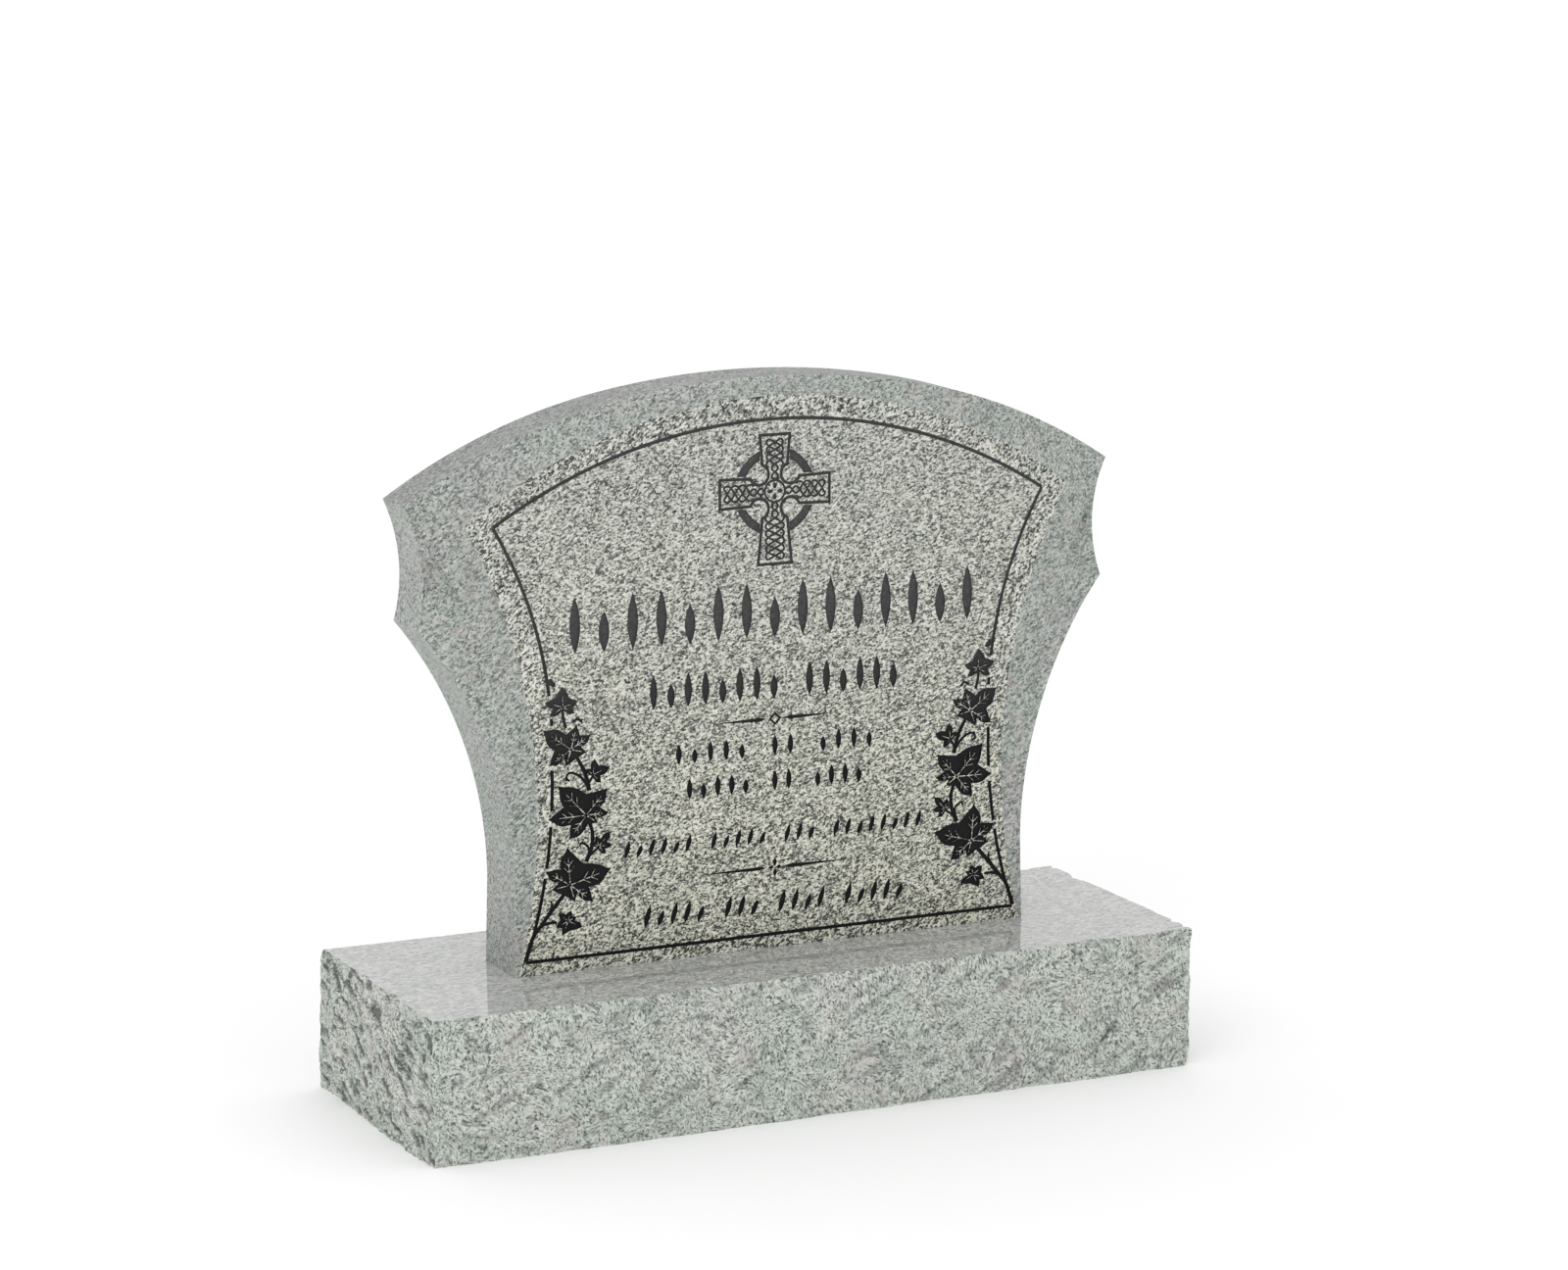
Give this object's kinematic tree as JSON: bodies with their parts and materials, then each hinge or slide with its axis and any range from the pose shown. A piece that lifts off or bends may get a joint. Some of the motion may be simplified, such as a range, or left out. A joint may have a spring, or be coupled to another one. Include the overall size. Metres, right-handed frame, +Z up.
{
  "type": "headstone",
  "caption": "Upright granite headstone with a concave-sided, arched die, carved wheel cross and ivy, on a rock-pitched base.",
  "frame": {"origin": "centre of the overall outline seen from above, on the ground", "axes": "+X along the stone to the right as seen from its carved front, -Y out of the front, +Z up"},
  "size_m": [1.2392, 0.4642, 1.06],
  "materials": {
    "base": "polished top, rock-pitched sides",
    "die": "polished front, honed sides, dark carved lines"
  },
  "bodies": {
    "root": {"base": "base", "die": "die"}
  },
  "joints": []
}
